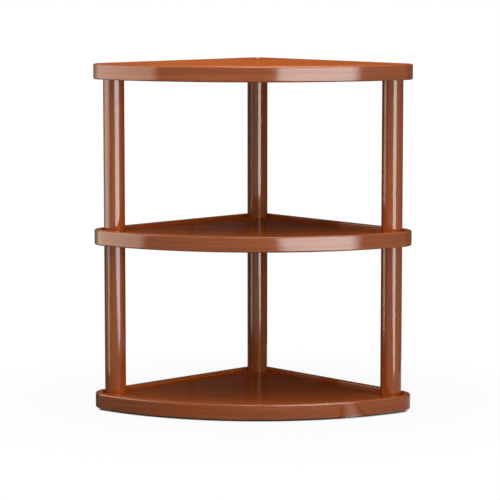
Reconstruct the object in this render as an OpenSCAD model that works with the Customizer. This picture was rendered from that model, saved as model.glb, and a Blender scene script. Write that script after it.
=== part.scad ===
// Three-tier quarter-round corner shelf in varnished wood.
// Each tier is a board with a bent front rim and two straight back rims glued round it.
// The two lower tiers are shallow trays. The top one is the same tray turned over, so its top is flat.
// Three round posts carry each upper tier. Local x runs along the left back side and local y along
// the right one, both from the outer back corner.

/* [Tiers] */
// Length of each back side, from the outer back corner to the tip
leg = 282; // [262:1:310]
// Radius of the front curve
front_r = 286.5; // [276:0.5:320]
// Plan radius of the two front tips
tip_r = 26.5; // [21:0.5:34]
// Plan radius inside the back corner of the rims
corner_in_r = 1.5; // [1:0.5:4]
// Height of the rims
rim_h = 18.2; // [16:0.2:24]
// Thickness of the rims
wall = 7.5; // [6:0.1:10]
// How far the floor of a tray lies below its rim
recess = 3.7; // [2.5:0.1:6]
// Distance from the top of one tier to the top of the next
pitch = 195; // [150:1:260]

/* [Edges] */
// Rounding of the outer edges
edge_r = 2; // [1:0.1:3]
// Rounding of the rim's inner top edge
lip_r = 1.2; // [0.6:0.1:2]

/* [Tongue and groove] */
// Thickness of the board's tongue
tongue_t = 5; // [3:0.5:6]
// Depth of the groove in the rims
groove_d = 4; // [2.5:0.1:4.5]
// Glue gap along the joint
glue_gap = 0.1; // [0.05:0.05:0.2]
// Space left beyond the end of the tongue
tongue_room = 0.3; // [0.2:0.1:0.6]

/* [Posts] */
// Diameter of the posts
post_d = 25; // [20:0.5:32]
// Chamfer round the posts' ends
post_ease = 0.5; // [0.2:0.1:1.5]
// Space between a post and the inner face of the nearest back rim
post_gap = 0.5; // [0.3:0.1:4]
// How far the front posts' axes stand back from the middle of the tip's rounding
post_set_back = 1.4; // [0:0.1:12]

/* [Screws and studs] */
// Diameter of the wood screws
screw_d = 4; // [3:0.5:5]
// Diameter of their countersunk heads
screw_head_d = 7.6; // [6.5:0.1:9]
// Length of the wood screws
screw_l = 40; // [30:1:50]
// Width of the cross recess in the heads
drive_w = 1.2; // [0.8:0.1:1.6]
// Depth of the cross recess
drive_d = 1.1; // [0.6:0.1:1.4]
// Diameter of the double-ended studs that join the posts through the middle tier
stud_d = 6; // [4:0.5:8]
// Length of the studs
stud_l = 52; // [40:1:70]
// Radial clearance of a screw or stud in its hole
screw_gap = 0.05; // [0.02:0.01:0.1]
// Space beyond the end of a screw or stud
hole_room = 1; // [0.5:0.5:3]

/* [Plugs and cap] */
// Radial room of the counterbores round the top screws' heads
bore_room = 0.3; // [0.2:0.1:1]
// Depth of the counterbores
bore_deep = 4; // [3:0.1:6]
// Radial clearance of a plug in its counterbore
plug_gap = 0.05; // [0.02:0.01:0.1]
// How far the dome of the back cap reaches past its counterbore
cap_lip = 0.9; // [0.5:0.1:3]
// Height of the dome above the top
cap_h = 1; // [0.6:0.1:2.5]
// Space between the cap's stem and the screw below it
stem_room = 1; // [0.2:0.1:2]

/* [Foot pads] */
// Diameter of the pads under the posts
pad_d = 24; // [16:0.5:24]
// Thickness of the pads
pad_t = 2; // [1:0.5:5]

/* [Hidden] */

$fn = 96;
CURVE_FN = 360;      // facets of the long front curve in a preview
EPS = 1;             // how far a cutter runs past the face that it opens
OVER = 1;            // degrees by which half a rim runs past the cut in its middle
POINT_D = 0.5;       // flat left on a screw's point

board_t = rim_h - recess;
corner_r = wall + corner_in_r;

// The front curve passes through both tips, so its centre lies on the shelf's diagonal.
curve_c = (leg - sqrt(2 * front_r * front_r - leg * leg)) / 2;
// Centre of the left tip's rounding, tangent to the back face and to the front curve
tip_y = tip_r;
tip_x = curve_c + sqrt(pow(front_r - tip_r, 2) - pow(tip_r - curve_c, 2));
// Direction from the curve's centre to the tip's: the tip's rounding ends there
tip_angle = atan2(tip_y - curve_c, tip_x - curve_c);

// The shelf's middle stands over the origin.
back_y = (corner_r * (sqrt(2) - 1) + curve_c * sqrt(2) + front_r) / 2;

tier_z = [pad_t, pad_t + pitch, pad_t + 2 * pitch];
lower_floor_z = tier_z[0] + board_t;
upper_floor_z = tier_z[1] + board_t;
top_under_z = tier_z[2] + recess;
top_z = tier_z[2] + rim_h;

// Post axes in the tiers' own plane
post_in = wall + post_gap + post_d / 2;
post_out = tip_x - post_set_back;
back_axis = [post_in, post_in];
left_axis = [post_out, post_in];
right_axis = [post_in, post_out];
AXES = [back_axis, left_axis, right_axis];

screw_head_h = (screw_head_d - screw_d) / 2;
top_screw_z = top_z - bore_deep;
bore_d = screw_head_d + 2 * bore_room;
plug_d = bore_d - 2 * plug_gap;
cap_d = bore_d + 2 * cap_lip;

varnish = [0.58, 0.30, 0.17];
varnish_light = [0.66, 0.36, 0.18];
post_wood = [0.54, 0.27, 0.15];
steel = [0.72, 0.72, 0.74];
felt = [0.22, 0.16, 0.13];

// Turns a tier's own plane so that its back corner points to +Y.
module place(z) {
    translate([0, back_y, z]) rotate([0, 0, -135]) children();
}

// A copy on each post's axis
module at_posts() {
    for (a = AXES) translate(a) children();
}

// Outline of a tier, drawn in by the same distance all round
module tier_outline(inset) {
    reach = 2 * tip_r;
    in_r = corner_r - inset;
    difference() {
        intersection() {
            translate([curve_c, curve_c]) circle(front_r - inset, $fn = CURVE_FN);
            translate([inset, inset]) square(leg);
        }
        tip_wedge(reach);
        mirror([1, -1]) tip_wedge(reach);
        if (in_r > 0) translate([inset - EPS, inset - EPS]) square(in_r + EPS);
    }
    translate([tip_x, tip_y]) circle(tip_r - inset);
    translate([tip_y, tip_x]) circle(tip_r - inset);
    if (in_r > 0) translate([corner_r, corner_r]) circle(in_r);
}

// What the tip's rounding takes off the outline
module tip_wedge(reach) {
    polygon([[tip_x, tip_y], [tip_x, tip_y - reach], [tip_x + reach, tip_y - reach],
             [tip_x + reach * cos(tip_angle), tip_y + reach * sin(tip_angle)]]);
}

// Cross-section of a rim: x = 0 is the outer face, the groove opens inwards
module rim_section() {
    difference() {
        union() {
            translate([-wall, 0]) square([wall - edge_r, rim_h - lip_r]);
            translate([-wall + lip_r, 0]) square([wall - lip_r - edge_r, rim_h]);
            translate([-edge_r, edge_r]) square([edge_r, rim_h - 2 * edge_r]);
            translate([-edge_r, edge_r]) circle(edge_r);
            translate([-edge_r, rim_h - edge_r]) circle(edge_r);
            translate([-wall + lip_r, rim_h - lip_r]) circle(lip_r);
        }
        translate([-wall - EPS, (board_t - tongue_t) / 2 - glue_gap])
            square([groove_d + EPS, tongue_t + 2 * glue_gap]);
    }
}

// The rim's section swept from the x axis, its outer face at radius r
module rim_bend(r, angle) {
    rotate_extrude(angle = angle, $fn = CURVE_FN) translate([r, 0]) rim_section();
}

// Half of the front rim, drawn round the front curve's centre: x points to the tip's centre
module rim_to_tip() {
    translate([front_r - tip_r, 0, 0]) mirror([0, 1, 0]) rim_bend(tip_r, 90 + tip_angle);
    rim_bend(front_r, 45 - tip_angle + OVER);
}

// The same half turned so that x runs along the shelf's diagonal, and cut off there
module half_front_rim() {
    difference() {
        rotate([0, 0, tip_angle - 45]) rim_to_tip();
        translate([0, 0, -EPS]) cube([2 * front_r, 2 * front_r, rim_h + 2 * EPS]);
    }
}

// One long strip, bent round the left tip, along the front curve and round the right tip
module front_rim() {
    translate([curve_c, curve_c, 0]) rotate([0, 0, 45]) {
        half_front_rim();
        mirror([0, 1, 0]) half_front_rim();
    }
}

// The straight rim along local x, with its half of the mitred back corner
module side_rim() {
    translate([corner_r, corner_r, 0]) rotate([0, 0, -90]) mirror([0, 1, 0]) rim_bend(corner_r, 45);
    translate([corner_r, 0, 0]) rotate([90, 0, 90])
        linear_extrude(tip_x - corner_r) mirror([1, 0]) rim_section();
}

// The board, flush with the rims' lower edges, and its tongue all round
module board() {
    linear_extrude(board_t) tier_outline(wall + glue_gap);
    translate([0, 0, (board_t - tongue_t) / 2])
        linear_extrude(tongue_t) tier_outline(wall - groove_d + tongue_room);
}

// Turns a tray over between the same two heights.
module turned_over() {
    translate([0, 0, rim_h]) mirror([0, 0, 1]) children();
}

module front_rim_piece(level) {
    color(varnish) place(tier_z[level]) {
        if (level == 2) turned_over() front_rim();
        else front_rim();
    }
}

module left_rim_piece(level) {
    color(varnish) place(tier_z[level]) {
        if (level == 2) turned_over() side_rim();
        else side_rim();
    }
}

module right_rim_piece(level) {
    color(varnish) place(tier_z[level]) mirror([1, -1, 0]) {
        if (level == 2) turned_over() side_rim();
        else side_rim();
    }
}

// Countersunk wood screw pointing up, the head's flat face at z = 0, grown all round by a gap
module screw_form(gap, room) {
    cylinder(d1 = screw_head_d + 2 * gap, d2 = screw_d + 2 * gap, h = screw_head_h);
    cylinder(d = screw_d + 2 * gap, h = screw_l - screw_d / 2 + room);
    translate([0, 0, screw_l - screw_d / 2 + room])
        cylinder(d1 = screw_d + 2 * gap, d2 = POINT_D, h = screw_d / 2);
}

module wood_screw() {
    difference() {
        screw_form(0, 0);
        for (turn = [0, 90]) rotate([0, 0, turn])
            translate([-screw_head_d / 4, -drive_w / 2, -EPS])
                cube([screw_head_d / 2, drive_w, drive_d + EPS]);
    }
}

module stud_form(gap, room) {
    translate([0, 0, -stud_l / 2 - room]) cylinder(d = stud_d + 2 * gap, h = stud_l + 2 * room);
}

module bottom_screw_places() {
    place(tier_z[0]) at_posts() children();
}

module top_screw_places() {
    place(top_screw_z) at_posts() rotate([180, 0, 0]) children();
}

module stud_places() {
    place(tier_z[1] + board_t / 2) at_posts() children();
}

module bottom_board() {
    color(varnish_light) difference() {
        place(tier_z[0]) board();
        bottom_screw_places() {
            screw_form(screw_gap, hole_room);
            translate([0, 0, -EPS]) cylinder(d = screw_head_d + 2 * screw_gap, h = EPS);
        }
    }
}

module middle_board() {
    color(varnish_light) difference() {
        place(tier_z[1]) board();
        stud_places() stud_form(screw_gap, hole_room);
    }
}

module top_board() {
    color(varnish_light) difference() {
        place(tier_z[2]) turned_over() board();
        top_screw_places() screw_form(screw_gap, hole_room);
        place(top_screw_z) at_posts() cylinder(d = bore_d, h = bore_deep + EPS);
    }
}

// A post between two boards, turned from the outline of its half, with both ends eased
module post(axis, z_from, z_to) {
    r = post_d / 2;
    h = z_to - z_from;
    place(z_from) translate(axis) rotate_extrude()
        polygon([[0, 0], [r - post_ease, 0], [r, post_ease],
                 [r, h - post_ease], [r - post_ease, h], [0, h]]);
}

module lower_post(axis) {
    color(post_wood) difference() {
        post(axis, lower_floor_z, tier_z[1]);
        bottom_screw_places() screw_form(screw_gap, hole_room);
        stud_places() stud_form(screw_gap, hole_room);
    }
}

module upper_post(axis) {
    color(post_wood) difference() {
        post(axis, upper_floor_z, top_under_z);
        stud_places() stud_form(screw_gap, hole_room);
        top_screw_places() screw_form(screw_gap, hole_room);
    }
}

module bottom_screws() {
    color(steel) bottom_screw_places() wood_screw();
}

module post_studs() {
    color(steel) stud_places() stud_form(0, 0);
}

module top_screws() {
    color(steel) top_screw_places() wood_screw();
}

// Flush wooden plugs over the two front screws
module top_plugs() {
    color(varnish_light) place(top_screw_z)
        for (a = [left_axis, right_axis]) translate(a)
            cylinder(d = plug_d, h = bore_deep);
}

// Low domed cap over the back screw, its stem in the counterbore
module back_cap() {
    dome_r = (pow(cap_d / 2, 2) + pow(cap_h, 2)) / (2 * cap_h);
    color(varnish) place(top_z) translate(back_axis) {
        translate([0, 0, stem_room - bore_deep]) cylinder(d = plug_d, h = bore_deep - stem_room);
        rotate_extrude() intersection() {
            translate([0, cap_h - dome_r]) circle(dome_r, $fn = CURVE_FN);
            square([cap_d, cap_h]);
        }
    }
}

module foot_pads() {
    color(felt) place(0) at_posts() cylinder(d = pad_d, h = pad_t);
}

bottom_board();
front_rim_piece(0);  // bottom_front_rim
left_rim_piece(0);  // bottom_left_rim
right_rim_piece(0);  // bottom_right_rim
middle_board();
front_rim_piece(1);  // middle_front_rim
left_rim_piece(1);  // middle_left_rim
right_rim_piece(1);  // middle_right_rim
top_board();
front_rim_piece(2);  // top_front_rim
left_rim_piece(2);  // top_left_rim
right_rim_piece(2);  // top_right_rim
lower_post(back_axis);  // lower_back_post
lower_post(left_axis);  // lower_left_post
lower_post(right_axis);  // lower_right_post
upper_post(back_axis);  // upper_back_post
upper_post(left_axis);  // upper_left_post
upper_post(right_axis);  // upper_right_post
bottom_screws();
post_studs();
top_screws();
top_plugs();
back_cap();
foot_pads();
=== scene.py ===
# %% [markdown]
# # A corner shelf in varnished wood
# The shelf has a flat top over two shallow trays, and three round posts between each pair.
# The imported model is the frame: every piece made here sits where its CAD part sits, in metres.

import math

import bmesh
import bpy
from mathutils import Matrix, Vector


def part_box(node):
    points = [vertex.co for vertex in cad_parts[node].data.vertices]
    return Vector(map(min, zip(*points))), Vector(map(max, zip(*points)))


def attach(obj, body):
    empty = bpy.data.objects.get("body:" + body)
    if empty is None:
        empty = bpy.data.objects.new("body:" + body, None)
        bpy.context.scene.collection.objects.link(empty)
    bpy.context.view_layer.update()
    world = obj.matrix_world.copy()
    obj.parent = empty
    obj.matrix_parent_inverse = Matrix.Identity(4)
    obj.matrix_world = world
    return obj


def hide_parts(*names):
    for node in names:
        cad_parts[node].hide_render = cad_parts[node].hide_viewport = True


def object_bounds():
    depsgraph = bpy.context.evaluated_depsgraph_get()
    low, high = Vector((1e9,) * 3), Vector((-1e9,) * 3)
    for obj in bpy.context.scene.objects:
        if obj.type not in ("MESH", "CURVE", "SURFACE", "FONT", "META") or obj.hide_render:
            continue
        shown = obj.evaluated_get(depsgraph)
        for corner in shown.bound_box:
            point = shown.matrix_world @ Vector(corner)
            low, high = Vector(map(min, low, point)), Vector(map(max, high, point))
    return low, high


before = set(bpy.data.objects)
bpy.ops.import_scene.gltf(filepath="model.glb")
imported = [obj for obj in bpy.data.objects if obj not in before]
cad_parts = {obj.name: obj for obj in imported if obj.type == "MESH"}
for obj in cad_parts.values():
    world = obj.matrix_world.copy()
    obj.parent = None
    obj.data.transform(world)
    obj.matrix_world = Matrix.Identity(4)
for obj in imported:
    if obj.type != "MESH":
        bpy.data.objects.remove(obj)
MM = 0.001
cad_box = [list(corner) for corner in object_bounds()]
print("nodes", len(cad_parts), "CAD box", cad_box)

# %% [markdown]
# ## The camera
# The photograph was taken with a long lens from a little above the top, almost straight in front.
# Three edges of each tier and the posts' edges gave the distance, the height and the lens.
# The camera is tilted down and not shifted, so that it also frames the shelf from other sides.

# %% Camera
EYE = (0.0962, -2.8390, 0.5256)
TURN, TILT = -0.03572, -0.11974     # radians, to the right of straight ahead and up
SENSOR_WIDTH, LENS = 36, 171.0      # millimetres
CLIP_END = 50

camera = bpy.data.objects.new("camera", bpy.data.cameras.new("camera"))
bpy.context.scene.collection.objects.link(camera)
bpy.context.scene.camera = camera
camera.location = EYE
sight = Vector((math.sin(TURN) * math.cos(TILT), math.cos(TURN) * math.cos(TILT), math.sin(TILT)))
camera.rotation_euler = sight.to_track_quat("-Z", "Y").to_euler()
camera.data.sensor_width = SENSOR_WIDTH
camera.data.lens = LENS
camera.data.clip_end = CLIP_END
print("camera to shelf", round(camera.location.length, 3), "m")

# %% [markdown]
# ## Numbers written as sums
# A material is a tree of nodes. The class below wraps one socket of the tree, so that a line such
# as `0.7 * streaks + 0.3 * bands` adds the Math nodes by itself, and the recipe stays readable.

# %% A small language for materials
WHITE = (1, 1, 1, 1)


class Value:
    """One number, colour or vector in a material's tree. Sums and products add Math nodes."""

    def __init__(self, recipe, socket):
        self.recipe, self.socket = recipe, socket

    def math(self, operation, first, second):
        return self.recipe.node("ShaderNodeMath", {"operation": operation}, {0: first, 1: second})

    def __add__(self, other):
        return self.math("ADD", self, other)

    def __sub__(self, other):
        return self.math("SUBTRACT", self, other)

    def __rsub__(self, other):
        return self.math("SUBTRACT", other, self)

    def __mul__(self, other):
        return self.math("MULTIPLY", self, other)

    def __abs__(self):
        return self.math("ABSOLUTE", self, 0)

    def least(self, other):
        return self.math("MINIMUM", self, other)

    def output(self, name):
        """Another output of the node that this one comes from."""
        return Value(self.recipe, self.socket.node.outputs[name])

    __radd__ = __add__
    __rmul__ = __mul__


class Recipe:
    """A node tree for a material or the world, filled node by node."""

    def __init__(self, owner):
        owner.use_nodes = True
        self.tree = owner.node_tree
        self.tree.nodes.clear()

    def node(self, kind, settings=None, inputs=None, output=0):
        made = self.tree.nodes.new(kind)
        for name, value in (settings or {}).items():
            if name == "stops":
                stops = made.color_ramp.elements
                while len(stops) < len(value):
                    stops.new(1)
                for stop, (position, colour) in zip(stops, value):
                    stop.position, stop.color = position, (*colour, 1)
            else:
                setattr(made, name, value)
        for name, value in (inputs or {}).items():
            if isinstance(value, Value):
                self.tree.links.new(value.socket, made.inputs[name])
            else:
                made.inputs[name].default_value = value
        return Value(self, made.outputs[output]) if made.outputs else made

    def ease(self, value, start, end, first=0.0, last=1.0):
        """Goes softly from `first` to `last` while the value goes from `start` to `end`."""
        return self.node("ShaderNodeMapRange", {"interpolation_type": "SMOOTHSTEP"}, {
            "Value": value, "From Min": start, "From Max": end, "To Min": first, "To Max": last})

    def place(self):
        """The point on the piece, in the piece's own metres."""
        return self.node("ShaderNodeTexCoord", output="Object")

    def glow(self, strength, colour=WHITE):
        """A surface that gives light of its own."""
        return self.node("ShaderNodeEmission", inputs={"Color": colour, "Strength": strength})

    def mix(self, share, first, second):
        """The second surface where `share` is one and the first where it is zero."""
        return self.node("ShaderNodeMixShader", inputs={0: share, 1: first, 2: second})

    def end(self, surface):
        """The last node of a material."""
        self.node("ShaderNodeOutputMaterial", inputs={"Surface": surface})


def new_material(name):
    """An empty material and the recipe that fills it."""
    material = bpy.data.materials.new(name)
    return material, Recipe(material)


print("a material is a", Recipe.__name__, "of nodes, and each link in it is a", Value.__name__)

# %% [markdown]
# ## A white room
# Camera rays, and rays that a shiny or clear surface sends out, see the room as white. The light
# that comes from it onto the wood is weak, because a room that lit the wood as strongly as it
# looks would wash out every shade. Light Path tells the kinds of ray apart.

# %% White room
AMBIENT = 0.04      # strength of the room for the light on the wood


def white_share(recipe, *kinds):
    """One for the kinds of ray that see plain white, zero for the others."""
    path = recipe.node("ShaderNodeLightPath")
    share = 0
    for kind in kinds:
        share = path.output(kind) + share
    return share


world = bpy.data.worlds.new("room")
bpy.context.scene.world = world
room = Recipe(world)
sees_white = white_share(room, "Is Camera Ray", "Is Glossy Ray", "Is Transmission Ray")
room_light = room.node("ShaderNodeBackground", inputs={
    "Color": WHITE, "Strength": AMBIENT + (1 - AMBIENT) * sees_white})
room.node("ShaderNodeOutputWorld", inputs={"Surface": room_light})
print("room", world.name, "lights the wood with", AMBIENT)

# %% [markdown]
# ## The floor's paint
# To the camera the floor is mostly white of its own, and the rest of it takes light, which keeps
# a faint shadow. Right under the shelf it has no white of its own, so the lowest edges of the
# wood darken towards it, as they do on a real floor. The varnish sees the floor's left side
# dimmer than its right one, as the rims in the photograph do. That dimming is painted shade: a
# shadow of the shelf that only reflections see, not cast by any lamp.

# %% Floor paint
FLOOR_GREY, FLOOR_PALE = 0.15, 0.80     # the paint for light that bounces up, and for the camera
FLOOR_GLOW = 0.94                       # share of its own white beside the shelf
NEAR_R, PLINTH_R, FLOOR_R = 0.2, 0.42, 4.0      # the shadow fades from the first to the second
FOOT_CENTRE = (0, 0.1483, 0)            # centre of the shelf's front curve
FOOT_CURVE, FOOT_BACK, FOOT_SIDE = 0.2862, 0.138, 0.1855
CONTACT = 0.006                         # width of the soft border under the shelf's edge
# painted shade in the floor's reflection: its left side is dimmed
DIM_X, LIT_X, DIM_SHARE = -0.15, 0.12, 0.45     # where the dim side ends, and how dim it is


def open_floor(recipe, here, parts):
    """Zero under the shelf and one beside it, from the nearest of the foot's borders."""
    aside, depth = abs(parts), parts.output("Y")
    to_front = FOOT_CURVE - recipe.node("ShaderNodeVectorMath", {"operation": "DISTANCE"},
                                        {0: here, 1: FOOT_CENTRE}, output="Value")
    inside = (FOOT_BACK - aside - depth).least(to_front).least(FOOT_SIDE - aside)
    return recipe.ease(inside, 0.0, CONTACT, 1.0, 0.0)


def floor_paint():
    """White of its own for the camera, with a share of matt paint that takes the shadow."""
    material, paint = new_material("white_floor")
    here = paint.place()
    parts = paint.node("ShaderNodeSeparateXYZ", inputs={0: here})
    far = paint.node("ShaderNodeVectorMath", {"operation": "LENGTH"}, {0: here}, output="Value")
    own_white = open_floor(paint, here, parts) * paint.ease(far, NEAR_R, PLINTH_R, FLOOR_GLOW, 1.0)
    # Painted shade: glossy rays see less of the floor's white on its left side.
    painted_floor_shade = paint.ease(parts, DIM_X, LIT_X, DIM_SHARE, 1.0)
    sees_floor = (white_share(paint, "Is Camera Ray", "Is Transmission Ray")
                  + painted_floor_shade * white_share(paint, "Is Glossy Ray"))
    colour = paint.node("ShaderNodeMix", {"data_type": "RGBA"}, {
        0: white_share(paint, "Is Camera Ray"), 6: (FLOOR_GREY, FLOOR_GREY, FLOOR_GREY, 1),
        7: (FLOOR_PALE, FLOOR_PALE, FLOOR_PALE, 1)}, 2)
    matt = paint.node("ShaderNodeBsdfDiffuse", inputs={"Color": colour})
    paint.end(paint.mix(own_white * sees_floor, matt, paint.glow(1.0)))
    return material


white_floor = floor_paint()
print("floor paint", white_floor.name)

# %% [markdown]
# ## The floor
# A disc carries the shelf, and a wide ring goes round it. They are two pieces because varnish
# mirrors the disc, while the ring would show as one more pale band and stays out of reflections.

# %% Floor
FLOOR_SEGMENTS = 96


def stage_piece(name, bm, material):
    """A piece of the studio, which isn't part of the shelf."""
    mesh = bpy.data.meshes.new(name)
    bm.to_mesh(mesh)
    bm.free()
    piece = bpy.data.objects.new(name, mesh)
    bpy.context.scene.collection.objects.link(piece)
    mesh.materials.append(material)
    return piece


def disc(radius):
    bm = bmesh.new()
    bmesh.ops.create_circle(bm, cap_ends=True, radius=radius, segments=FLOOR_SEGMENTS)
    return bm


stage_piece("plinth", disc(PLINTH_R), white_floor)
bm = disc(FLOOR_R)
face = bm.faces[:]
bmesh.ops.inset_individual(bm, faces=face, thickness=FLOOR_R - PLINTH_R)
bmesh.ops.delete(bm, geom=face, context="FACES_KEEP_BOUNDARY")
floor = stage_piece("floor", bm, white_floor)
floor.visible_glossy = False
print("plinth and floor, radius", PLINTH_R, FLOOR_R)

# %% [markdown]
# ## Dark flags behind
# The trays are seen at a flat angle, where varnish is almost a mirror of what stands behind the
# shelf. In the photograph that is dark, or the trays would look milky. A studio hangs dark cloth
# there, out of the camera's sight. Here three cloths hang on one round rail: grey on the right,
# where the trays are a little paler, black behind and dim on the left. Only reflections see them.

# %% Dark flags
FLAG_RADIUS, FLAG_LOW, FLAG_HIGH = 2.2, -1.0, 3.0
FLAG_STEPS = 24


def only_reflected(piece):
    """Hides a piece from all rays but those that gloss sends out."""
    for sight_of in ("visible_camera", "visible_diffuse", "visible_transmission", "visible_shadow"):
        setattr(piece, sight_of, False)


def hang_flag(name, first_degree, last_degree, strength):
    """Part of a tall cylinder round the shelf. Zero degrees is to the right and 90 is behind."""
    material, recipe = new_material(name + "_cloth")
    recipe.end(recipe.glow(strength))
    bm = bmesh.new()
    start = bm.verts.new((FLAG_RADIUS, 0, FLAG_LOW))
    bmesh.ops.rotate(bm, verts=[start], cent=(0, 0, 0),
                     matrix=Matrix.Rotation(math.radians(first_degree), 3, "Z"))
    bmesh.ops.spin(bm, geom=[start], cent=(0, 0, 0), axis=(0, 0, 1), dvec=(0, 0, 0),
                   angle=math.radians(last_degree - first_degree), steps=FLAG_STEPS,
                   use_merge=False, use_duplicate=False)
    top = bmesh.ops.extrude_edge_only(bm, edges=bm.edges[:])["geom"]
    bmesh.ops.translate(bm, verts=[v for v in top if isinstance(v, bmesh.types.BMVert)],
                        vec=(0, 0, FLAG_HIGH - FLAG_LOW))
    flag = stage_piece(name, bm, material)
    only_reflected(flag)
    print(name, "from", first_degree, "to", last_degree, "degrees")


hang_flag("grey_flag", 0, 48, 0.38)
hang_flag("black_flag", 48, 93, 0.08)
hang_flag("dim_flag", 93, 135, 0.15)

# %% [markdown]
# ## Lamps
# Soft boxes give the light that falls on the wood. The broad ones are overhead and high in front.
# A small one above the top lights it more than the trays, a low one close in front lifts the rims,
# the one on the right makes that side brighter, and a wide strip behind keeps the back readable.
# The varnish doesn't mirror them: its bands come from the cards of the next steps, so light and
# highlights can be set one by one.

# %% Soft boxes
SOFT_BOXES = {      # place, point that it looks at, width, height, radiance
    "overhead": ((-0.14, -0.45, 1.60), (0, 0, 0.4), 1.6, 1.2, 1.95),
    "above_top": ((0.0, -0.18, 1.00), (0, -0.03, 0.4), 0.45, 0.40, 4.35),
    "front_high": ((0.0, -1.90, 1.30), (0, 0, 0.25), 1.0, 1.0, 0.85),
    "front_near": ((0.0, -0.95, 0.28), (0, 0, 0.28), 1.0, 0.35, 1.32),
    "right_low": ((1.8, -1.40, 0.40), (0, 0, 0.25), 1.0, 1.0, 3.9),
    "behind": ((0.0, 2.20, 0.09), (0, 0, 0.20), 3.0, 0.16, 16.0)}

for name, (place, look_at, width, height, radiance) in SOFT_BOXES.items():
    lamp = bpy.data.lights.new(name, "AREA")
    lamp.shape = "RECTANGLE"
    lamp.size, lamp.size_y = width, height
    lamp.energy = radiance * math.pi * width * height
    holder = bpy.data.objects.new(name, lamp)
    bpy.context.scene.collection.objects.link(holder)
    holder.location = place
    holder.rotation_euler = (Vector(look_at) - Vector(place)).to_track_quat("-Z", "Y").to_euler()
    holder.visible_camera = False
    holder.visible_glossy = False
    print(name, round(lamp.energy, 2), "W")

# %% [markdown]
# ## Upright cards
# Tall glowing cards stand to the left and to the right. Their job is the pale bands in the
# varnish, so only reflections see them. A card's light fades out towards its borders, because
# hard borders would show as cut lines on the rims. The left one is cream and hangs askew, as the
# bands on the rims show. The right one goes on upwards as a much weaker card, which spares the
# top from glare in views from behind. A warm one far behind is the top's own sheen.

# %% Upright cards
PLAIN = [(0.0, (1, 1, 1)), (1.0, (1, 1, 1))]
HALF = 0.5          # a card's own coordinates go from minus a half to a half


def glow_paint(name, strength, colours, fade_across, fade_up):
    """Light whose colour changes across the card and which fades at its borders."""
    material, recipe = new_material(name)
    parts = recipe.node("ShaderNodeSeparateXYZ", inputs={0: recipe.place()})
    tint = recipe.node("ShaderNodeValToRGB", {"stops": colours}, {"Fac": parts + HALF}, "Color")
    share = 1
    for axis, reach in (("X", fade_across), ("Y", fade_up)):
        share = share * recipe.ease(abs(parts.output(axis)), HALF, HALF - reach)
    recipe.end(recipe.mix(share, recipe.glow(0.0), recipe.glow(strength, tint)))
    return material


def card(name, stand, width, height, material):
    """A sheet of one metre square, stretched to its size and put where `stand` says."""
    bm = bmesh.new()
    bmesh.ops.create_grid(bm, x_segments=1, y_segments=1, size=HALF)
    sheet = stage_piece(name, bm, material)
    sheet.matrix_world = stand @ Matrix.Diagonal((width, height, 1, 1))
    only_reflected(sheet)
    print(name, round(width, 3), "by", round(height, 3))


def upright_card(name, left_end, right_end, low, high, tilt, material):
    """Stands over the line between two points of the floor's plane and leans by `tilt` degrees."""
    start, end = Vector((*left_end, 0)), Vector((*right_end, 0))
    along = (end - start).normalized()
    away = along.cross(Vector((0, 0, 1)))
    middle = (start + end) / 2 + Vector((0, 0, (low + high) / 2))
    upright = Matrix((along, Vector((0, 0, 1)), away)).transposed().to_4x4()
    lean = Matrix.Rotation(math.radians(tilt), 4, "Z")
    card(name, Matrix.Translation(middle) @ upright @ lean, (end - start).length, high - low,
         material)


cream_glow = glow_paint("cream_glow", 8.8, [
    (0.0, (0.16, 0.13, 0.10)), (0.23, (0.20, 0.16, 0.12)), (0.50, (0.30, 0.23, 0.17)),
    (0.68, (0.76, 0.60, 0.47)), (0.77, (1.0, 0.84, 0.69)), (1.0, (0.62, 0.52, 0.42))], 0.03, 0.05)
white_glow = glow_paint("white_glow", 12.5, [(0.0, (0.87, 0.93, 0.93)), (1.0, (0.94, 1.0, 1.0))],
                        0.04, 0.10)
upper_glow = glow_paint("upper_glow", 2.8, PLAIN, 0.03, 0.02)
back_glow = glow_paint("back_glow", 10.0, [(0.0, (1.0, 0.85, 0.65)), (1.0, (1.0, 0.85, 0.65))],
                       0.1, 0.2)
RIGHT_ENDS = (0.606, -3.10), (0.491, -0.357)
CARDS = {           # both ends on the floor's plane, lowest and highest edge, lean, paint
    "left_card": ((-1.681, 1.207), (-0.590, -0.566), 0.05, 1.05, -22, cream_glow),
    "back_card": ((-0.25, 1.25), (0.35, 1.25), 1.20, 1.75, 0, back_glow),
    "right_card": (*RIGHT_ENDS, -0.14, 0.72, 0.7, white_glow),
    "upper_card": (*RIGHT_ENDS, 0.72, 3.20, 0, upper_glow)}
for name, setting in CARDS.items():
    upright_card(name, *setting)

# %% [markdown]
# ## Scrims beside the posts
# A round post mirrors almost the whole room, so both cards would show on it as broad bands. In the
# photograph they are narrow streaks between dark flanks. Strips of dark cloth close to the posts
# cut the cards down to that. The closer a strip stands to its post, the less it changes on the
# other pieces. The cloth's density sets how dark a flank gets.

# %% Scrims
TOP, MIDDLE = 0.41, 0.19        # heights at which strips end or change their cloth


def cloth(name, cover):
    """Dark cloth that stops `cover` of the light, and lets the rest through."""
    material, recipe = new_material(name)
    threads, holes = recipe.glow(0.05), recipe.node("ShaderNodeBsdfTransparent")
    recipe.end(recipe.mix(cover, holes, threads))
    return material


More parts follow.
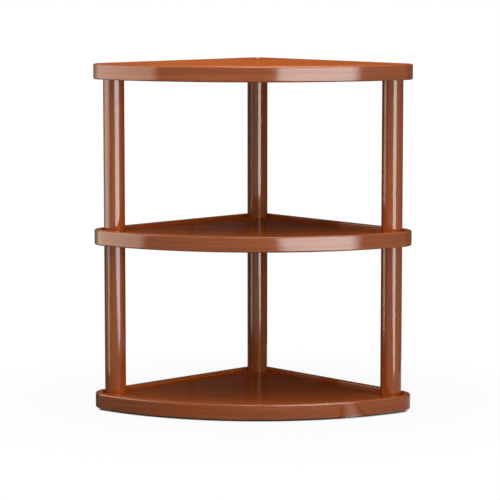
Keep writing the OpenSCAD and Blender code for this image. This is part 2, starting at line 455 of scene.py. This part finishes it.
open_cloth = cloth("open_cloth", 0.45)
scrim_cloth = cloth("scrim_cloth", 0.8)
dense_cloth = cloth("dense_cloth", 0.95)
SCRIMS = {          # both ends on the floor's plane, lowest and highest edge, cloth
    "left_scrim_back": ((-0.090, 0.170), (-0.0814, 0.090), 0.0, TOP, dense_cloth),
    "left_scrim_upper": ((-0.0814, 0.090), (-0.075, 0.030), MIDDLE, TOP, scrim_cloth),
    "left_scrim_lower": ((-0.0814, 0.090), (-0.0765, 0.0455), 0.0, MIDDLE, open_cloth),
    "left_scrim_front": ((-0.0765, 0.0455), (-0.075, 0.030), 0.0, MIDDLE, scrim_cloth),
    "right_scrim": ((0.075, 0.030), (0.105, 0.200), 0.0, TOP, dense_cloth),
    "left_post_scrim": ((-0.191, -0.066), (-0.189, -0.030), 0.0, 0.195, scrim_cloth),
    "right_post_scrim": ((0.1359, -0.0638), (0.1425, -0.0755), 0.025, TOP, scrim_cloth),
    "right_edge_scrim": ((0.1344, -0.0535), (0.1375, -0.0422), 0.025, TOP, scrim_cloth)}
for name, (left_end, right_end, low, high, material) in SCRIMS.items():
    upright_card(name, left_end, right_end, low, high, 0, material)

# %% [markdown]
# ## Level cards
# Two more bands in the varnish come from cards that lie level: a patch of light on the floor,
# which the bottom rim mirrors near its right end, and a sheet overhead, which runs along the
# rounded front edge of the top as a thin bright line.


# %% Level cards
def level_card(name, centre, width, depth, turn, material):
    """Lies level with its middle at a point, turned by `turn` degrees."""
    stand = Matrix.Translation(centre) @ Matrix.Rotation(math.radians(turn), 4, "Z")
    card(name, stand, width, depth, material)


patch_glow = glow_paint("patch_glow", 3.0, PLAIN, 0.5, 0.1)
soft_glow = glow_paint("soft_glow", 9.0, PLAIN, 0.2, 0.1)
level_card("sun_patch", (0.159, -0.1515, 0.0005), 0.036, 0.150, 44, patch_glow)
level_card("top_card", (0.24, -0.45, 1.59), 1.20, 1.20, 0, soft_glow)

# %% [markdown]
# ## Which way the grain runs
# Grain follows the timber and not the shelf, so each kind of piece has its own coordinates, with
# the first of them along the timber. Boards and posts turn the piece's own ones. A bent strip
# can't be turned straight, so the rims carry their distance along the strip as an attribute.


# %% Coordinates along the timber
def along_strip(recipe):
    """Coordinates that the rims carry with them: along the strip, across it and up."""
    return recipe.node("ShaderNodeAttribute",
                       {"attribute_type": "GEOMETRY", "attribute_name": "strip"}, output="Vector")


def along_axis(turn):
    """Object coordinates turned so that the grain's direction comes first."""
    def coords(recipe):
        return recipe.node("ShaderNodeMapping", {"vector_type": "POINT"},
                           {"Vector": recipe.place(), "Rotation": turn})
    return coords


PLUG_TURN = 62      # degrees between the grain of a plug and that of the board round it
ALONG_BOARD = along_axis((0, 0, 0))
ALONG_POST = along_axis((0, math.radians(90), 0))
ALONG_PLUG = along_axis((0, 0, math.radians(PLUG_TURN)))
print("the plugs' grain lies", PLUG_TURN, "degrees off the boards'")

# %% [markdown]
# ## The varnished wood
# The shelf is a fine, straight-grained timber stained red-brown under a clear gloss varnish.
# Grain is noise that is drawn out along the timber: broad bands, streaks a few millimetres wide
# and fibres under a millimetre, with short dark pores among them. The varnish is the coat of
# the shader, and the fibres show through it as a slight relief of the surface below.

# %% Varnished wood
GRAIN = {           # length and width of its features in metres, and how fine their detail is
    "bands": (0.60, 0.030, 1.0), "streaks": (0.25, 0.0042, 3.0), "fibres": (0.07, 0.0009, 2.0),
    "pores": (0.012, 0.0006, 0.0)}
WANDER = 0.010      # how far the grain strays sideways
PORE_START, PORE_FULL, PORE_SHARE = 0.64, 0.76, 0.35
PORE_TINT = (0.45, 0.35, 0.30, 1)
WOOD_ROUGHNESS = 0.16


def grain(recipe, place, long, wide, detail):
    """Noise with features about `long` by `wide` metres, drawn out along the first axis."""
    drawn = recipe.node("ShaderNodeMapping", {"vector_type": "POINT"},
                        {"Vector": place, "Scale": (1 / long, 1 / wide, 1 / wide)})
    return recipe.node("ShaderNodeTexNoise", {"noise_dimensions": "3D"},
                       {"Vector": drawn, "Scale": 1.0, "Detail": detail, "Roughness": 0.6})


def wandering(recipe, straight):
    """The coordinates bent a little from side to side, because no tree grows dead straight."""
    noise = recipe.node("ShaderNodeTexNoise", {}, {"Vector": straight, "Scale": 4.0, "Detail": 1.0},
                        "Color")
    centred = recipe.node("ShaderNodeVectorMath", {"operation": "SUBTRACT"},
                          {0: noise, 1: (0.5, 0.5, 0.5)})
    bend = recipe.node("ShaderNodeVectorMath", {"operation": "MULTIPLY"},
                       {0: centred, 1: (0, WANDER, WANDER)})
    return recipe.node("ShaderNodeVectorMath", {"operation": "ADD"}, {0: straight, 1: bend})


def varnished(name, coords, stops, coat=0.85, coat_roughness=0.12):
    """Wood whose grain follows the first of its coordinates, under a coat of clear varnish."""
    material, recipe = new_material(name)
    place = wandering(recipe, coords(recipe))
    bands, streaks, fibres, pores = (grain(recipe, place, *GRAIN[kind])
                                     for kind in ("bands", "streaks", "fibres", "pores"))
    tone = 0.35 * bands + 0.45 * streaks + 0.20 * fibres
    ramp = recipe.node("ShaderNodeValToRGB", {"stops": stops}, {"Fac": tone}, "Color")
    dark_pores = recipe.ease(pores, PORE_START, PORE_FULL, 0.0, PORE_SHARE)
    colour = recipe.node("ShaderNodeMix", {"data_type": "RGBA", "blend_type": "MULTIPLY"},
                         {0: dark_pores, 6: ramp, 7: PORE_TINT}, 2)
    relief = recipe.node("ShaderNodeBump", {}, {
        "Strength": 0.25, "Distance": 0.06 * MM, "Height": 0.5 * streaks + 0.5 * fibres})
    surface = recipe.node("ShaderNodeBsdfPrincipled", {}, {
        "Base Color": colour, "Roughness": WOOD_ROUGHNESS + 0.06 * fibres, "Normal": relief,
        "Specular IOR Level": 0.0, "Coat Weight": coat - 0.1 + 0.2 * fibres,
        "Coat Roughness": coat_roughness, "Coat IOR": 1.45})
    recipe.end(surface)
    return material


print("grain of", ", ".join(GRAIN))

# %% [markdown]
# ## One timber in several finishes
# All pieces come from one timber, from dark to pale along the grain's tone. The rims show more
# contrast. The back posts get a darker, browner copy of it, which is painted shade for their
# place deep under the tiers. The boards and the plugs in them are rubbed down to a thinner,
# softer varnish, while rims, posts and cap have the full gloss.

# %% Woods
TIMBER = [(0.36, 0.074, 0.0095), (0.47, 0.103, 0.0135), (0.58, 0.135, 0.0185)]
# Painted shade: the back posts stand deep in the shelf's shade, so their colour is made darker and
# browner.
POST_SHADE_TINT = (0.78, 0.97, 1.4)     # what the back posts' red, green and blue are multiplied by
RUBBED_COAT, RUBBED_ROUGHNESS = 0.2, 0.17
POST_COAT, POST_ROUGHNESS = 0.85, 0.10

WOOD = list(zip((0.30, 0.50, 0.70), TIMBER))
RIM_WOOD = list(zip((0.36, 0.50, 0.64), TIMBER))
SHADED_POST_STOPS = [(stop, tuple(part * change for part, change in zip(colour, POST_SHADE_TINT)))
              for stop, colour in WOOD]

board_wood = varnished("board_wood", ALONG_BOARD, WOOD, RUBBED_COAT, RUBBED_ROUGHNESS)
rim_wood = varnished("rim_wood", along_strip, RIM_WOOD)
post_wood = varnished("post_wood", ALONG_POST, WOOD, POST_COAT, POST_ROUGHNESS)
shaded_post_wood = varnished("shaded_post_wood", ALONG_POST, SHADED_POST_STOPS, POST_COAT, POST_ROUGHNESS)
plug_wood = varnished("plug_wood", ALONG_PLUG, WOOD, RUBBED_COAT, RUBBED_ROUGHNESS)
cap_wood = varnished("cap_wood", ALONG_PLUG, WOOD)
print("woods", [m.name for m in (board_wood, rim_wood, post_wood, shaded_post_wood, plug_wood,
                                 cap_wood)])

# %% [markdown]
# ## Steel and felt
# Screws and studs hide inside the finished shelf and show only when its pieces are taken apart.
# They are zinc plated, a little cloudy from the bath. The feet are discs of dense felt: matt,
# dark, and mottled by their short hairs. Plain noise is enough for both, at two scales.


# %% Steel and felt
def clouds(recipe, scale, detail):
    """Noise that is alike in every direction."""
    return recipe.node("ShaderNodeTexNoise", {},
                       {"Vector": recipe.place(), "Scale": scale, "Detail": detail})


def zinc_steel():
    material, recipe = new_material("zinc_steel")
    cloudy = clouds(recipe, 420.0, 4.0)
    colour = recipe.node("ShaderNodeValToRGB",
                         {"stops": [(0.3, (0.50, 0.50, 0.51)), (0.7, (0.66, 0.66, 0.68))]},
                         {"Fac": cloudy}, "Color")
    relief = recipe.node("ShaderNodeBump", {}, {
        "Strength": 0.2, "Distance": 0.02 * MM, "Height": cloudy})
    surface = recipe.node("ShaderNodeBsdfPrincipled", {}, {
        "Base Color": colour, "Metallic": 1.0, "Roughness": 0.26 + 0.18 * cloudy,
        "Normal": relief})
    recipe.end(surface)
    return material


def dense_felt():
    material, recipe = new_material("dense_felt")
    hairs, lumps = clouds(recipe, 2600.0, 3.0), clouds(recipe, 300.0, 2.0)
    colour = recipe.node("ShaderNodeValToRGB",
                         {"stops": [(0.3, (0.022, 0.013, 0.009)), (0.7, (0.060, 0.038, 0.027))]},
                         {"Fac": 0.6 * hairs + 0.4 * lumps}, "Color")
    relief = recipe.node("ShaderNodeBump", {}, {
        "Strength": 0.6, "Distance": 0.2 * MM, "Height": hairs})
    surface = recipe.node("ShaderNodeBsdfPrincipled", {}, {
        "Base Color": colour, "Roughness": 0.95, "Normal": relief, "Sheen Weight": 0.3,
        "Specular IOR Level": 0.2})
    recipe.end(surface)
    return material


steel, felt = zinc_steel(), dense_felt()
print("also", steel.name, felt.name)

# %% [markdown]
# ## The rims
# Each tier's board is edged with strips of the same timber. The front one is a single strip bent
# round both tips. Drawing its cross-section once and spinning it round the centre of each bend
# makes it as a bender does, and every point can carry its distance along the strip for the grain.
# The section is a flat bar with a groove for the board's tongue and with rounded edges.

# %% The rim's cross-section
WALL, RIM_H, RECESS = 7.5 * MM, 18.2 * MM, 3.7 * MM
TONGUE_T, GROOVE_D, GLUE = 5.0 * MM, 4.0 * MM, 0.1 * MM
EDGE_R, LIP_R = 2.0 * MM, 1.2 * MM      # rounding of the outer edges and of the tray's lip
EDGE_STEPS, LIP_STEPS = 7, 5
EASED = 0.15 * MM                       # fine bevel of an edge at a joint
BOARD_T = RIM_H - RECESS


def round_corner(bm, corner, radius, steps):
    bmesh.ops.bevel(bm, geom=[corner], offset=radius, offset_type="OFFSET", affect="VERTICES",
                    segments=steps, profile=0.5, material=-1)


def rim_section():
    """A loop of edges in the plane y = 0. The outer face is at x = 0 and the wall reaches to -x."""
    bm = bmesh.new()
    low = (BOARD_T - TONGUE_T) / 2 - GLUE
    high = low + TONGUE_T + 2 * GLUE
    outline = [(0, 0), (0, RIM_H), (-WALL, RIM_H), (-WALL, high), (GROOVE_D - WALL, high),
               (GROOVE_D - WALL, low), (-WALL, low), (-WALL, 0)]
    corners = [bm.verts.new((x, 0, z)) for x, z in outline]
    bm.faces.new(corners)
    round_corner(bm, corners[0], EDGE_R, EDGE_STEPS)
    round_corner(bm, corners[1], EDGE_R, EDGE_STEPS)
    round_corner(bm, corners[2], LIP_R, LIP_STEPS)
    round_corner(bm, corners[7], EASED, 1)
    bmesh.ops.delete(bm, geom=bm.faces[:], context="FACES_ONLY")
    return bm


bm = rim_section()
print("section has", len(bm.verts), "points")
bm.free()

# %% [markdown]
# ### The plan of a tier
# The plan is the one in the CAD source: two straight back sides that meet in a small rounded
# corner, a long front curve, and a small tip between each side and the curve. It is drawn from
# the back corner, where both sides lie on an axis, and then turned, so that the corner points
# away from the viewer.

# %% Plan of a tier
LEG, FRONT_R, TIP_R = 282 * MM, 286.5 * MM, 26.5 * MM
INNER_CORNER_R = 1.5 * MM
CORNER_R = WALL + INNER_CORNER_R
CURVE_C = (LEG - math.sqrt(2 * FRONT_R**2 - LEG**2)) / 2
TIP_X = CURVE_C + math.sqrt((FRONT_R - TIP_R)**2 - (TIP_R - CURVE_C)**2)
TIP_ANGLE = math.atan2(TIP_R - CURVE_C, TIP_X - CURVE_C)
BACK_Y = (CORNER_R * (math.sqrt(2) - 1) + CURVE_C * math.sqrt(2) + FRONT_R) / 2
print("tip centre", round(TIP_X / MM, 2), "tip angle", round(math.degrees(TIP_ANGLE), 2),
      "back corner", round(BACK_Y / MM, 2))


def to_world(level_z, turned):
    """From a tier's own plane to the shelf. The top tier is the same tray turned over."""
    stand = Matrix.Translation((0, BACK_Y, level_z)) @ Matrix.Rotation(math.radians(-135), 4, "Z")
    if turned:
        stand = stand @ Matrix.Translation((0, 0, RIM_H)) @ Matrix.Diagonal((1, 1, -1, 1))
    return stand


# %% [markdown]
# ### Making a strip
# A bend spins the loop of edges at the strip's end, and a straight stretch extrudes it in steps,
# so that the faces stay even and the grain follows them well. A strip is closed at both ends.
# Each point then keeps its place on the straight strip as an attribute, before the strip is
# turned into its tier, because afterwards its own numbers tell nothing about the timber.

# %% Making a strip
STRAIGHT_STEPS = 8


def of_kind(geom, kind):
    return [g for g in geom if isinstance(g, kind)]


def section_at(x):
    """The cross-section upright at `x`, with its outer face on the line y = 0."""
    bm = rim_section()
    bmesh.ops.transform(bm, verts=bm.verts[:], matrix=Matrix.Translation((x, 0, 0))
                        @ Matrix.Rotation(math.radians(-90), 4, "Z"))
    return bm


def bend(bm, ends, centre, angle, steps):
    """Spins the loop at the strip's end round an upright axis and returns the new end."""
    return bmesh.ops.spin(bm, geom=ends, cent=(*centre, 0), axis=(0, 0, 1), dvec=(0, 0, 0),
                          angle=angle, steps=steps, use_merge=False,
                          use_duplicate=False)["geom_last"]


def run_on(bm, ends, vector):
    """Draws the loop straight on."""
    edges = of_kind(ends, bmesh.types.BMEdge)
    for _ in range(STRAIGHT_STEPS):
        made = bmesh.ops.extrude_edge_only(bm, edges=edges)["geom"]
        bmesh.ops.translate(bm, verts=of_kind(made, bmesh.types.BMVert),
                            vec=Vector(vector) / STRAIGHT_STEPS)
        edges = [e for e in of_kind(made, bmesh.types.BMEdge) if e.is_boundary]


def close_and_ease(bm):
    """Fills both ends and takes their sharp edge off, so that a joint shows as a fine line."""
    caps = bmesh.ops.holes_fill(bm, edges=bm.edges[:], sides=0)["faces"]
    rims = {e for f in caps for e in f.edges}
    bmesh.ops.bevel(bm, geom=list(rims), offset=EASED, offset_type="OFFSET", affect="EDGES",
                    segments=1, profile=0.5, material=-1)
    bmesh.ops.triangulate(bm, faces=[f for f in bm.faces if len(f.verts) > 4])
    bmesh.ops.recalc_face_normals(bm, faces=bm.faces[:])


def finish_strip(bm, place_of, apart, placing):
    """Closes the strip, keeps each point's place on it for the grain and puts it in its tier.

    `apart` shifts that place, so that no two strips are cut from the same spot of the timber.
    """
    close_and_ease(bm)
    layer = bm.verts.layers.float_vector.new("strip")
    for vert in bm.verts:
        vert[layer] = place_of(vert.co) + Vector((apart, 0, 0))
    bmesh.ops.transform(bm, verts=bm.verts[:], matrix=placing)
    bmesh.ops.recalc_face_normals(bm, faces=bm.faces[:])


bm = section_at(TIP_X)
print("the section stands at x =", round(bm.verts[:][0].co.x / MM, 2))
bm.free()

# %% [markdown]
# ### From a mesh to a piece
# A finished mesh becomes an object that stands for a CAD node: it rides on the same body and
# replaces the node in the picture. Its faces are shaded smooth, edges steeper than an angle stay
# hard, and a modifier weights the shading by area, which keeps flat faces flat.


# %% From a mesh to a piece
def as_piece(name, bm, material, node, sharp=30):
    """Makes the mesh an object in the place of a CAD node. `sharp` is in degrees."""
    for face in bm.faces:
        face.smooth = True
    for edge in bm.edges:
        edge.smooth = not (edge.is_manifold and edge.calc_face_angle() > math.radians(sharp))
    mesh = bpy.data.meshes.new(name)
    bm.to_mesh(mesh)
    bm.free()
    mesh.materials.append(material)
    piece = bpy.data.objects.new(name, mesh)
    bpy.context.scene.collection.objects.link(piece)
    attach(piece, "root")
    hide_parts(node)
    even = piece.modifiers.new("even_shading", "WEIGHTED_NORMAL")
    even.keep_sharp = True
    return piece


def in_mm(*points):
    return [round(part / MM, 2) for point in points for part in point]


def mesh_box(mesh):
    """Lowest and highest corner of a mesh."""
    return [[pick(vert.co[axis] for vert in mesh.vertices) for axis in range(3)]
            for pick in (min, max)]


print("CAD box in millimetres", in_mm(*cad_box))

# %% [markdown]
# ### The front rim
# The section starts behind the left tip and follows three bends: tip, front curve, tip. The place
# on the strip is found back from the point itself: its angle round the centre of the bend that it
# lies in gives the distance along, and how far it is from that centre gives the depth.

# %% Front rims
TIERS = ("bottom", "middle", "top")
TIP_STEPS, CURVE_STEPS = 40, 120
APART = 3.1         # metres of timber between one tier's strips and the next one's


def front_strip_place(co):
    """Distance along the strip from its middle, depth into it and height."""
    out = math.hypot(co.x - CURVE_C, co.y - CURVE_C)
    angle = math.atan2(co.y - CURVE_C, co.x - CURVE_C)
    middle = math.pi / 4
    side = 1 if angle > middle else -1
    reach = middle - TIP_ANGLE
    if abs(angle - middle) <= reach:
        return Vector((FRONT_R * (angle - middle), FRONT_R - out, co.z))
    x, y = (co.x, co.y) if side < 0 else (co.y, co.x)
    past = TIP_ANGLE - math.atan2(y - TIP_R, x - TIP_X)
    return Vector((side * (FRONT_R * reach + TIP_R * past),
                   TIP_R - math.hypot(x - TIP_X, y - TIP_R), co.z))


def front_rim(level_z, turned, apart):
    bm = section_at(TIP_X)
    ends = bm.verts[:] + bm.edges[:]
    ends = bend(bm, ends, (TIP_X, TIP_R), math.pi / 2 + TIP_ANGLE, TIP_STEPS)
    ends = bend(bm, ends, (CURVE_C, CURVE_C), math.pi / 2 - 2 * TIP_ANGLE, CURVE_STEPS)
    bend(bm, ends, (TIP_R, TIP_X), math.pi / 2 + TIP_ANGLE, TIP_STEPS)
    finish_strip(bm, front_strip_place, apart, to_world(level_z, turned))
    return bm


for count, tier in enumerate(TIERS):
    node = tier + "_front_rim"
    low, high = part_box(node)
    bm = front_rim(low.z, tier == "top", APART * count)
    piece = as_piece(tier + "_front_strip", bm, rim_wood, node)
    print(node, in_mm(low, high), in_mm(*mesh_box(piece.data)))

# %% [markdown]
# ### The side rims
# A straight strip runs along each back side. At the back corner it turns through half of the
# right angle, where it meets the other side's strip in a mitre. Both sides are one shape, so the
# right one is the left one with its two directions on the floor swapped.

# %% Side rims
CORNER_STEPS = 10
SIDE_START = 10     # metres of timber between the front strips and the side strips
SWAP_SIDES = Matrix(((0, 1, 0, 0), (1, 0, 0, 0), (0, 0, 1, 0), (0, 0, 0, 1)))


def side_strip_place(co):
    """Distance along the strip from the back corner, depth into it and height."""
    if co.x >= CORNER_R:
        return Vector((co.x, co.y, co.z))
    turned = math.atan2(CORNER_R - co.x, CORNER_R - co.y)
    return Vector((CORNER_R * (1 - turned),
                   CORNER_R - math.hypot(co.x - CORNER_R, co.y - CORNER_R), co.z))


def side_rim(level_z, turned, apart, right):
    bm = section_at(CORNER_R)
    bmesh.ops.rotate(bm, verts=bm.verts[:], cent=(CORNER_R, CORNER_R, 0),
                     matrix=Matrix.Rotation(math.radians(-45), 3, "Z"))
    ends = bend(bm, bm.verts[:] + bm.edges[:], (CORNER_R, CORNER_R), math.radians(45),
                CORNER_STEPS)
    run_on(bm, ends, (TIP_X - CORNER_R, 0, 0))
    placing = to_world(level_z, turned)
    finish_strip(bm, side_strip_place, apart, placing @ SWAP_SIDES if right else placing)
    return bm


for count, tier in enumerate(TIERS):
    for side in ("left", "right"):
        right = side == "right"
        node = "%s_%s_rim" % (tier, side)
        low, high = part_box(node)
        bm = side_rim(low.z, tier == "top", SIDE_START + APART * count + right, right)
        piece = as_piece("%s_%s_strip" % (tier, side), bm, rim_wood, node)
        print(node, in_mm(low, high), in_mm(*mesh_box(piece.data)))

# %% [markdown]
# ## The posts
# Each post is a length of 25 mm dowel with its ends eased, bored for a stud or a screw at each
# end. Half of its section, spun round the axis, gives the outside and both blind holes at once.
# Its length and place come from the box of the CAD post that it replaces.

# %% Posts
CORNERS = ("back", "left", "right")
POST_EASED = 0.5 * MM
POST_EASED_STEPS, POST_STEPS = 3, 96
TINY = 0.001 * MM                       # points closer than this are one point
STUD_HOLE = (3.05 * MM, 19.75 * MM)     # radius, and depth in the post's end
LOWER_SCREW_HOLE = (2.05 * MM, 26.5 * MM)
UPPER_SCREW_HOLE = (2.05 * MM, 30.5 * MM)
HOLES = {"lower": (LOWER_SCREW_HOLE, STUD_HOLE), "upper": (STUD_HOLE, UPPER_SCREW_HOLE)}


def bored_post(low, high, low_hole, high_hole):
    """A dowel that fills the box from `low` to `high`, with a blind hole in each end."""
    axis, radius = (low + high) / 2, (high.x - low.x) / 2
    low_end, high_end = low.z + low_hole[1], high.z - high_hole[1]
    half = [(0, low_end), (low_hole[0], low_end), (low_hole[0], low.z), (radius, low.z),
            (radius, high.z), (high_hole[0], high.z), (high_hole[0], high_end), (0, high_end)]
    bm = bmesh.new()
    points = [bm.verts.new((axis.x + out, axis.y, z)) for out, z in half]
    bm.faces.new(points)
    round_corner(bm, points[3], POST_EASED, POST_EASED_STEPS)
    round_corner(bm, points[4], POST_EASED, POST_EASED_STEPS)
    bmesh.ops.delete(bm, geom=bm.faces[:], context="FACES_ONLY")
    on_axis = [e for e in bm.edges if all(abs(v.co.x - axis.x) < TINY for v in e.verts)]
    bmesh.ops.delete(bm, geom=on_axis, context="EDGES")
    bmesh.ops.spin(bm, geom=bm.verts[:] + bm.edges[:], cent=(axis.x, axis.y, 0), axis=(0, 0, 1),
                   dvec=(0, 0, 0), angle=math.tau, steps=POST_STEPS, use_merge=True,
                   use_duplicate=False)
    bmesh.ops.remove_doubles(bm, verts=bm.verts[:], dist=TINY)
    bmesh.ops.recalc_face_normals(bm, faces=bm.faces[:])
    return bm


for level, holes in HOLES.items():
    for corner in CORNERS:
        node = "%s_%s_post" % (level, corner)
        low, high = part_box(node)
        # The back posts take the copy of the timber with painted shade.
        wood = shaded_post_wood if corner == "back" else post_wood
        as_piece("%s_%s_dowel" % (level, corner), bored_post(low, high, *holes), wood, node)
        print(node, "from", round(low.z / MM, 1), "to", round(high.z / MM, 1))

# %% [markdown]
# ## Felt feet
# A disc of felt is punched from a sheet, so its edge is straight, and it spreads a little and
# rounds over where the shelf's weight presses it. Three short cylinders with bevelled ends are
# enough, one under each post.

# %% Felt feet
PAD_R, PAD_ROUND = 12 * MM, 0.6 * MM
PAD_SEGMENTS, PAD_ROUND_STEPS = 64, 4

low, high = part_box("foot_pads")
bm = bmesh.new()
for corner in CORNERS:
    post_low, post_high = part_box("lower_%s_post" % corner)
    axis = (post_low + post_high) / 2
    made = bmesh.ops.create_cone(bm, cap_ends=True, cap_tris=False, segments=PAD_SEGMENTS,
                                 radius1=PAD_R, radius2=PAD_R, depth=high.z - low.z)["verts"]
    bmesh.ops.translate(bm, verts=made, vec=(axis.x, axis.y, (low.z + high.z) / 2))
ends = [e for e in bm.edges if abs(e.verts[0].co.z - e.verts[1].co.z) < TINY]
bmesh.ops.bevel(bm, geom=ends, offset=PAD_ROUND, offset_type="OFFSET", affect="EDGES",
                segments=PAD_ROUND_STEPS, profile=0.5, material=-1)
bmesh.ops.recalc_face_normals(bm, faces=bm.faces[:])
feet = as_piece("felt_feet", bm, felt, "foot_pads", sharp=60)
print("felt feet", in_mm(low, high), in_mm(*mesh_box(feet.data)))

# %% [markdown]
# ## Pieces that stay as the CAD part drew them
# The boards, plugs, cap and fasteners already have their right shape, so they only get a finish.
# The word in a node's name tells which one.

# %% Finishes of the CAD pieces
FINISHES = {"board": board_wood, "plugs": plug_wood, "cap": cap_wood, "screws": steel,
            "studs": steel}
for name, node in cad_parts.items():
    if node.hide_render:
        continue
    finish = next(m for word, m in FINISHES.items() if word in name)
    for slot in node.material_slots:
        slot.material = finish
    print(name, "->", finish.name)

# %% [markdown]
# ## Look of the picture
# The picture shows colours as they are written, with no film curve.

# %% Finish
bpy.context.scene.view_settings.view_transform = "Standard"
